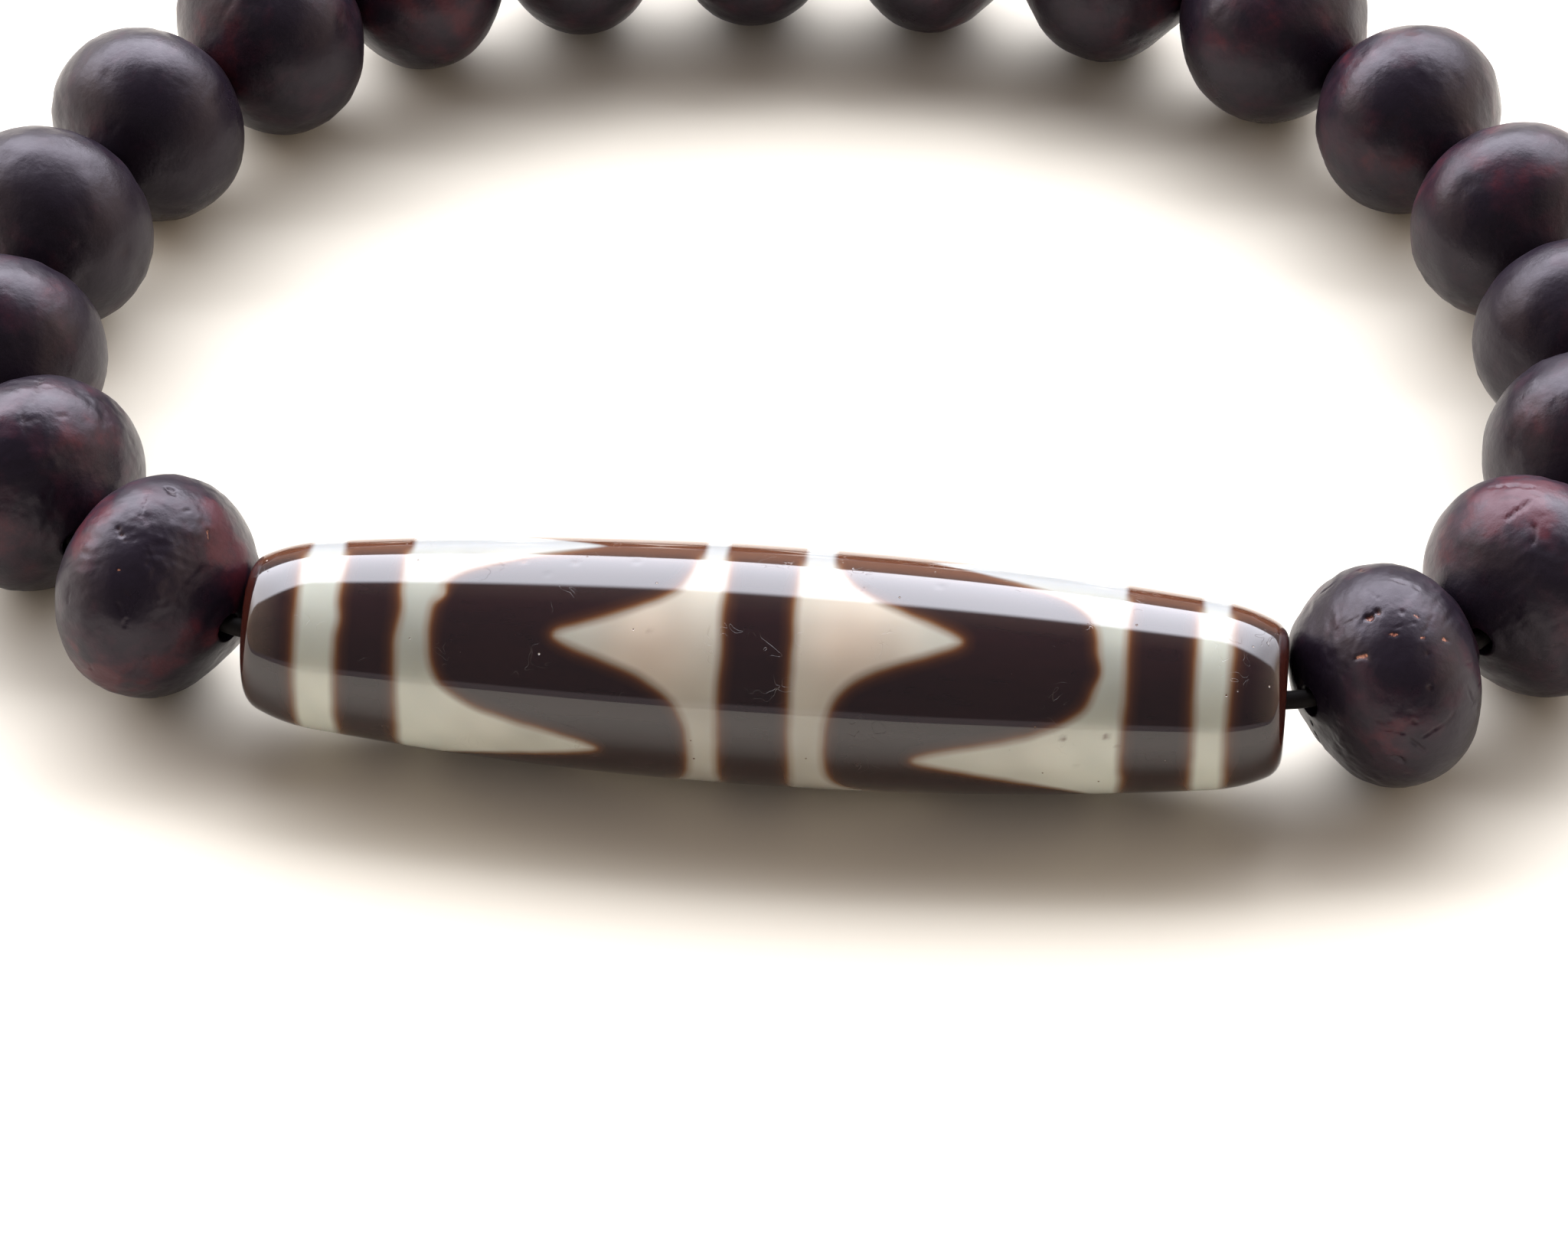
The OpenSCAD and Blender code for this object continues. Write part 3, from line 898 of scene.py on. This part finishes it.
agate, seedSkin, rubber = agateMaterial(), seedMaterial(), threadMaterial()
stone = makeDzi(agate)
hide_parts("dzi_bead")
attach(stone, "root")
for number, name in enumerate(seedNames, 1):
    shell = makeSeed(number, name, seedSkin)
    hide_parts(name)
    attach(shell, "root")
cord = makeThread(rubber)
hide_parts("elastic_thread")
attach(cord, "root")
print("beads: %d seeds and the thread" % len(seedNames))


# Camera, floor and light

cameraSetup = {
    "place": (18.884, -216.264, 205.80),  # mm
    "lookAt": (0.332, -17.395, 0.0),
    "lens": 149.4,                        # mm
    "sensor": 36.0,                       # mm wide
}
cameraData = bpy.data.cameras.new("camera")
camera = bpy.data.objects.new("camera", cameraData)
bpy.context.scene.collection.objects.link(camera)
camera.location = Vector(cameraSetup["place"]) * mm
aim = Vector(cameraSetup["lookAt"]) - Vector(cameraSetup["place"])
camera.rotation_euler = aim.to_track_quat("-Z", "Y").to_euler()
cameraData.lens = cameraSetup["lens"]
cameraData.sensor_width = cameraSetup["sensor"]
cameraData.sensor_fit = "HORIZONTAL"
cameraData.clip_start = 0.01
cameraData.dof.use_dof = False
bpy.context.scene.camera = camera

# The room is a half turn of light round the bracelet's long side, from 0 degrees at the front horizon
# over the top to 180 at the back: a low white card, a dim room that is brighter to the left and right,
# and a large window-like key
studio = {
    "floor": "#e0dacb",
    "floorSize": 0.6,                     # m from the middle to each edge
    "front": "#dcd2d7",
    "frontEdge": (4.6, 7.2),              # degrees over which the card ends
    "room": [                             # degrees over the top from the front, and the colour there
        (0, "#5a595c"),
        (95, "#58575b"),
        (108, "#7b7874"),
        (115, "#8b8885"),
        (158, "#a29d99"),
        (180, "#7c7873"),
    ],
    "sides": [
        (0, "#928170"),
        (60, "#98877a"),
        (90, "#b6a492"),
        (110, "#d2c2b0"),
        (180, "#978879"),
    ],
    "roomStrength": 2.0,
    "sideStrength": 3.8,
    "toSides": (0.55, 0.95),              # where the room passes into its sides, by the direction's x
    "key": "#f2f4ff",
    "keyRadiance": 11.8,
    "keyTop": (114.5, 120.5),             # degrees over which it fades in
    "keySlant": 0.45,                     # radians that its top edge sinks towards both sides
    "keyFoot": (159.0, 161.0),
    "keySides": [                         # its share from left to right, by the direction's x
        (-1.0, 0.0),
        (-0.8, 0.62),
        (-0.5, 0.9),
        (-0.12, 0.88),
        (0.12, 1.0),
        (0.4, 0.8),
        (0.62, 0.4),
        (0.85, 0.0),
    ],
}

floorMesh = bpy.data.meshes.new("floor")
far = studio["floorSize"]
floorMesh.from_pydata([(-far, -far, 0), (far, -far, 0), (far, far, 0), (-far, far, 0)], [], [(0, 1, 2, 3)])
floor = bpy.data.objects.new("floor", floorMesh)
bpy.context.scene.collection.objects.link(floor)
floorMaterial = newMaterial("Paper_matte_cream")
floorTree = floorMaterial.node_tree
floorShader = addNode(floorTree, "ShaderNodeBsdfPrincipled",
                      {"Base Color": linearColour(studio["floor"]), "Roughness": 0.95,
                       "Specular IOR Level": 0.2})
addNode(floorTree, "ShaderNodeOutputMaterial", None, {"Surface": floorShader.outputs["BSDF"]})
floorMesh.materials.append(floorMaterial)

world = bpy.data.worlds.new("studio")
bpy.context.scene.world = world
world.use_nodes = True
world.node_tree.nodes.clear()
tree = world.node_tree
direction = addNode(tree, "ShaderNodeTexCoord")
parts = addNode(tree, "ShaderNodeSeparateXYZ", None, {0: direction.outputs["Generated"]})
toFront = addNode(tree, "ShaderNodeMath", {"operation": "MULTIPLY", 1: -1.0}, {0: parts.outputs["Y"]})
roll = addNode(tree, "ShaderNodeMath", {"operation": "ARCTAN2"},
               {0: parts.outputs["Z"], 1: toFront.outputs[0]})
sideways = addNode(tree, "ShaderNodeMath", {"operation": "ABSOLUTE"}, {0: parts.outputs["X"]})
share = addNode(tree, "ShaderNodeMapRange", {"From Min": 0.0, "From Max": math.pi},
                {"Value": roll.outputs[0]})
# the key's top edge: the roll and keySlant times x squared
square = addNode(tree, "ShaderNodeMath", {"operation": "MULTIPLY"},
                 {0: sideways.outputs[0], 1: sideways.outputs[0]})
slanted = addNode(tree, "ShaderNodeMath", {"operation": "MULTIPLY_ADD", 1: studio["keySlant"]},
                  {0: square.outputs[0], 2: roll.outputs[0]})
room, sides = (setRamp(addNode(tree, "ShaderNodeValToRGB", None, {"Fac": share.outputs["Result"]}),
                       [(degrees / 180, linearColour(c)) for degrees, c in studio[part]])
               for part in ("room", "sides"))
# soft steps from 0 to 1, or from 1 to 0 for the edges that end something
masks = {}
for part, source, ending in (("frontEdge", roll, True), ("keyTop", slanted, False), ("keyFoot", roll, True),
                             ("toSides", sideways, False)):
    low, high = studio[part]
    if source != sideways:
        low, high = math.radians(low), math.radians(high)
    masks[part] = addNode(tree, "ShaderNodeMapRange",
                          {"interpolation_type": "SMOOTHSTEP", "From Min": low, "From Max": high,
                           "To Min": float(ending), "To Max": float(not ending)},
                          {"Value": source.outputs[0]})
bright, brightSides = (
    addNode(tree, "ShaderNodeVectorMath", {"operation": "SCALE", "Scale": studio[strength]},
            {0: ramp.outputs["Color"]})
    for strength, ramp in (("roomStrength", room), ("sideStrength", sides)))
walls = addNode(tree, "ShaderNodeMix", {"data_type": "RGBA"},
                {0: masks["toSides"].outputs["Result"], 6: bright.outputs[0], 7: brightSides.outputs[0]})
card = addNode(tree, "ShaderNodeMix", {"data_type": "RGBA", 7: linearColour(studio["front"])},
               {0: masks["frontEdge"].outputs["Result"], 6: walls.outputs[2]})
keyAcross = addNode(tree, "ShaderNodeMapRange", {"From Min": -1.0, "From Max": 1.0},
                    {"Value": parts.outputs["X"]})
keySides = setRamp(addNode(tree, "ShaderNodeValToRGB", None, {"Fac": keyAcross.outputs["Result"]}),
                   [((x + 1) / 2, (level, level, level, 1)) for x, level in studio["keySides"]])
keySides.color_ramp.interpolation = "EASE"
keyHeight = addNode(tree, "ShaderNodeMath", {"operation": "MULTIPLY"},
                    {0: masks["keyTop"].outputs["Result"], 1: masks["keyFoot"].outputs["Result"]})
keyShare = addNode(tree, "ShaderNodeMath", {"operation": "MULTIPLY"},
                   {0: keyHeight.outputs[0], 1: keySides.outputs["Color"]})
keyLight = [c * studio["keyRadiance"] for c in linearColour(studio["key"])[:3]]
total = addNode(tree, "ShaderNodeVectorMath", {"operation": "MULTIPLY_ADD", 1: keyLight},
                {0: keyShare.outputs[0], 2: card.outputs[2]})
background = addNode(tree, "ShaderNodeBackground", {"Strength": 1.0}, {"Color": total.outputs[0]})
addNode(tree, "ShaderNodeOutputWorld", None, {"Surface": background.outputs["Background"]})

bpy.context.scene.view_settings.view_transform = "Standard"
print("studio: camera, floor, key light")
